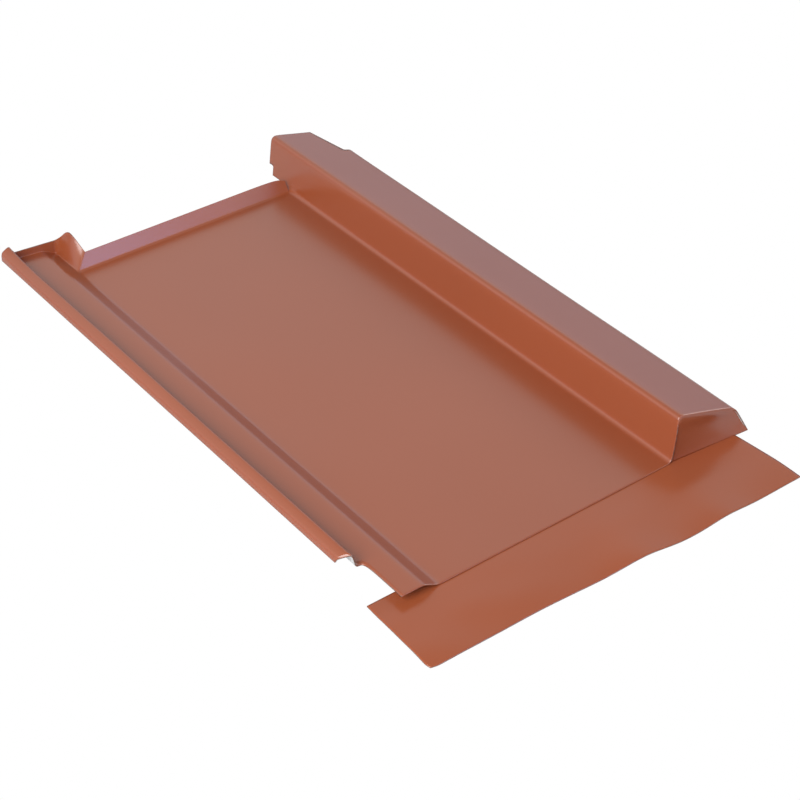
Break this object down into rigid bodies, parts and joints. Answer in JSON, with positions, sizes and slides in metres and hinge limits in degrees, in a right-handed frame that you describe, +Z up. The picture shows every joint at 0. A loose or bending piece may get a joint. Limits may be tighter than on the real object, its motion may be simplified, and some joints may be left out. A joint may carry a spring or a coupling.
{
  "type": "metal roof tile",
  "caption": "Coated sheet-metal roof tile: a flat pan with a raised side channel and rim, a hollow covering rib, a head upstand and a soft front apron.",
  "frame": {"origin": "under the middle of the whole object's box, on the level floor it lies on", "axes": "+Z up off the floor, +Y up the roof slope from the apron to the head upstand, +X across the tile towards the covering rib"},
  "size_m": [0.3304, 0.576, 0.0388],
  "materials": {
    "tile_coating": "semi-gloss",
    "apron_coating": "semi-gloss"
  },
  "bodies": {
    "root": {"tile_sheet": "tile_coating", "apron": "apron_coating"}
  },
  "joints": []
}
